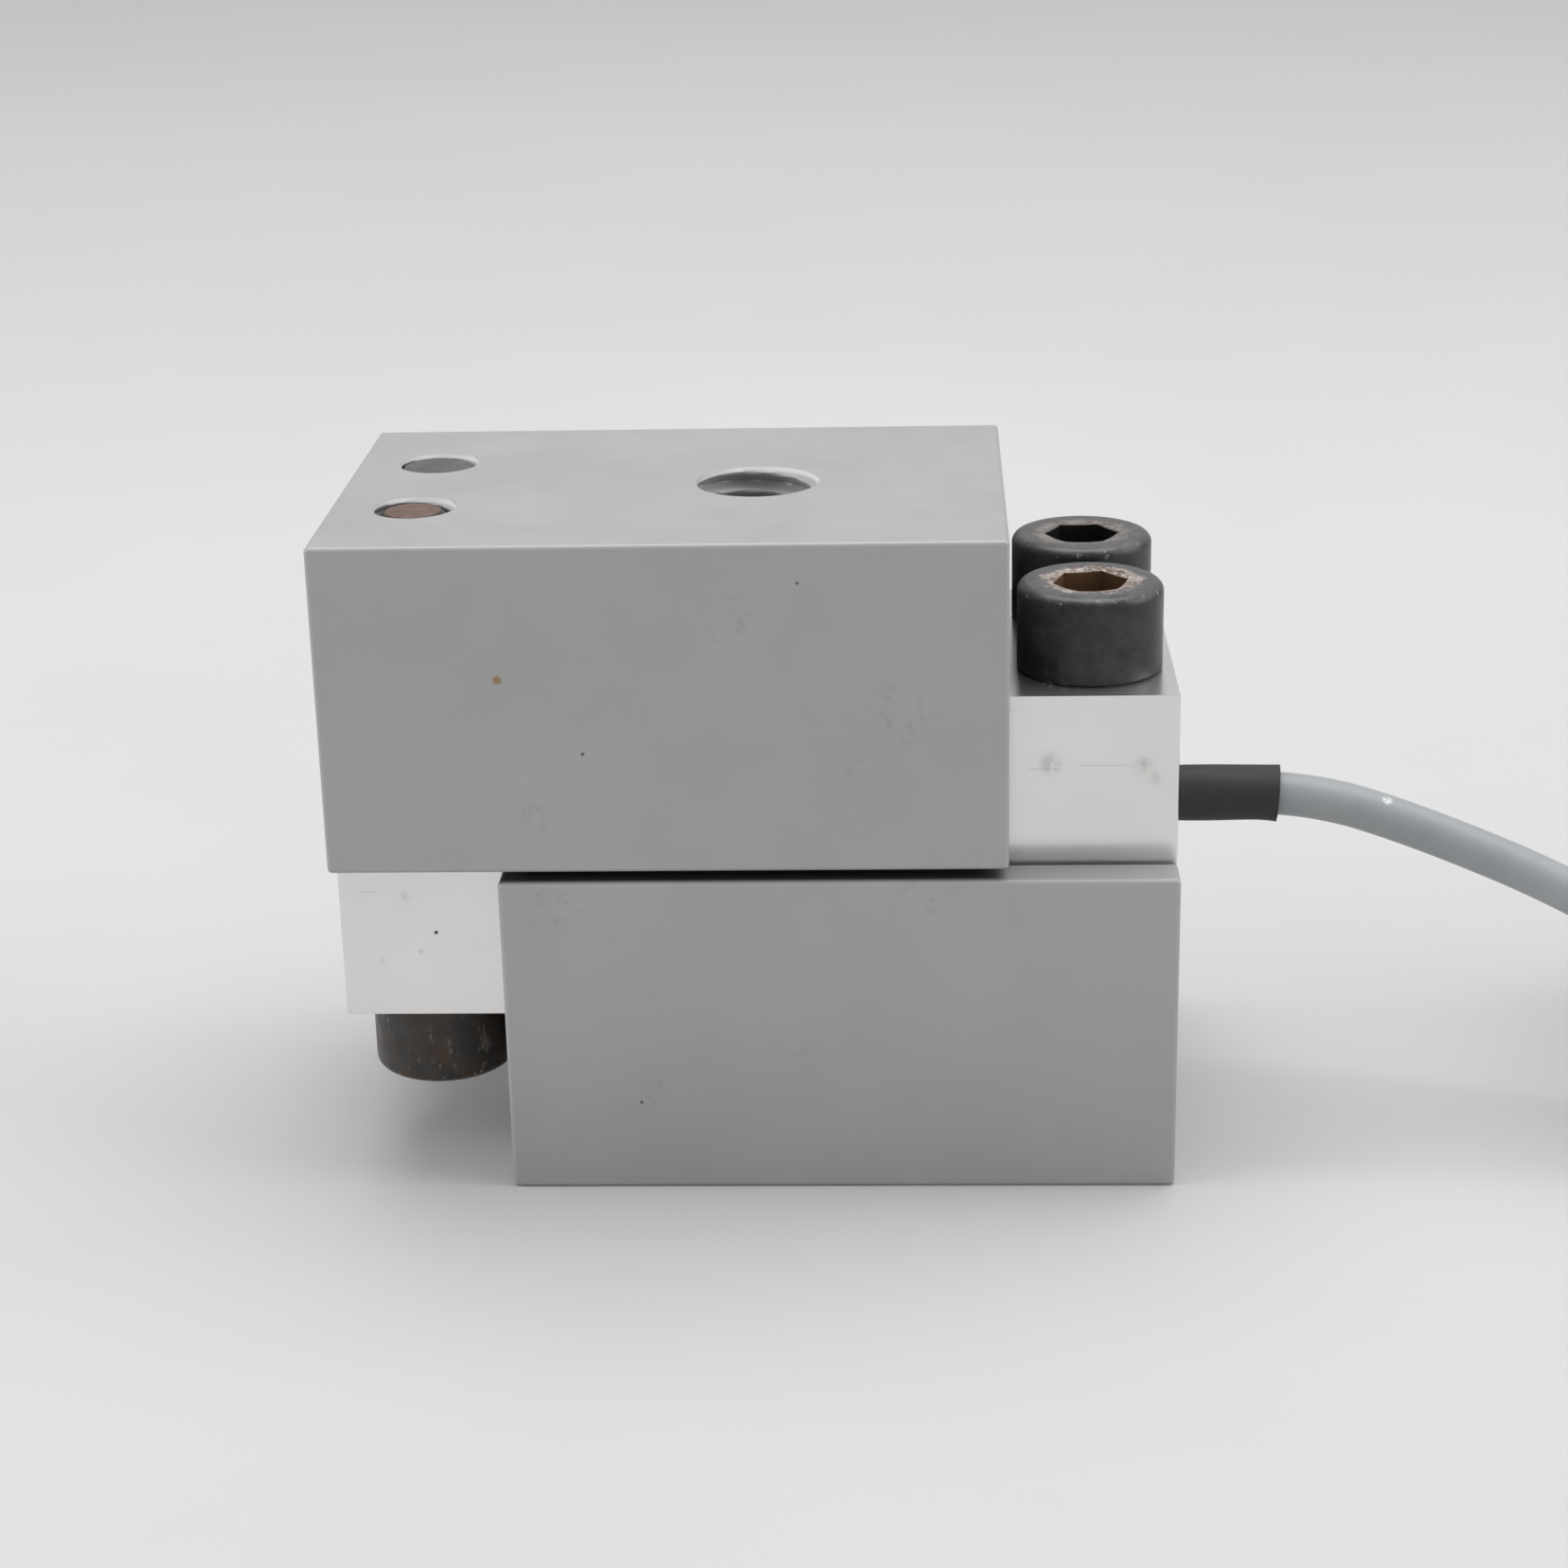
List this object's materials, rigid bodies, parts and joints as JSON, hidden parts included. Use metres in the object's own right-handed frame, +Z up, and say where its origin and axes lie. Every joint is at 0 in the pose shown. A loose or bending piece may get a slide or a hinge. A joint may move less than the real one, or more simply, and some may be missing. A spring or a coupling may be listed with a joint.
{
  "type": "load cell module",
  "caption": "Beam load cell clamped between two offset aluminium channel blocks by socket screws, with a shielded lead and central tapped load holes.",
  "frame": {"origin": "under the middle of the module, on the surface that the lower block stands on", "axes": "+X along the beam, towards the cable end; +Y across it, from the front to the back; +Z up along the load axis"},
  "size_m": [0.2092, 0.058, 0.0605],
  "materials": {
    "anodised_block": "natural satin anodised",
    "beam_aluminium": "bright machined",
    "black_oxide_steel": "black oxide, oiled",
    "grub_steel": "black oxide",
    "gauge_foil": "polyimide film with foil grid",
    "silicone_coating": "translucent silicone sealant",
    "wire_enamel": "enamelled copper",
    "board_laminate": "solder mask over glass laminate",
    "resistor_body": "ceramic chip",
    "core_insulation": "coloured PVC",
    "sealant": "epoxy sealant",
    "heat_shrink": "matt polyolefin heat-shrink",
    "cable_jacket": "semi-gloss PVC",
    "tie_nylon": "black nylon",
    "core_red": "PVC",
    "core_green": "PVC",
    "core_white": "PVC",
    "core_black": "PVC",
    "tinned_copper": "tinned stranded copper"
  },
  "bodies": {
    "fixed_side": {"lower_block": "anodised_block", "load_cell_beam": "beam_aluminium", "fixed_screw_front": "black_oxide_steel", "fixed_screw_rear": "black_oxide_steel", "cable_clamp_screw": "grub_steel", "strain_gauge_top_left": "gauge_foil", "strain_gauge_top_right": "gauge_foil", "strain_gauge_bottom_left": "gauge_foil", "strain_gauge_bottom_right": "gauge_foil", "gauge_coating_top": "silicone_coating", "gauge_coating_bottom": "silicone_coating", "bridge_wires_top": "wire_enamel", "bridge_wires_bottom": "wire_enamel", "terminal_board": "board_laminate", "trim_resistors": "resistor_body", "inner_cores": "core_insulation", "bore_seal": "sealant", "cable_sleeve": "heat_shrink", "cable": "cable_jacket", "cable_coil": "cable_jacket", "end_sleeve": "heat_shrink", "coil_tie_right": "tie_nylon", "coil_tie_left": "tie_nylon", "lead_core_red": "core_red", "lead_core_green": "core_green", "lead_core_white": "core_white", "lead_core_black": "core_black", "core_tips": "tinned_copper", "shield_pigtail": "tinned_copper"},
    "live_side": {"upper_block": "anodised_block", "live_screw_front": "black_oxide_steel", "live_screw_rear": "black_oxide_steel"}
  },
  "joints": [
    {"name": "load_deflection", "type": "slide", "parent": "fixed_side", "child": "live_side", "axis": [0, 0, 1], "range_m": [-0.0003, 0.0003], "stiffness_N_per_m": 100000, "deforming": ["load_cell_beam"]}
  ]
}
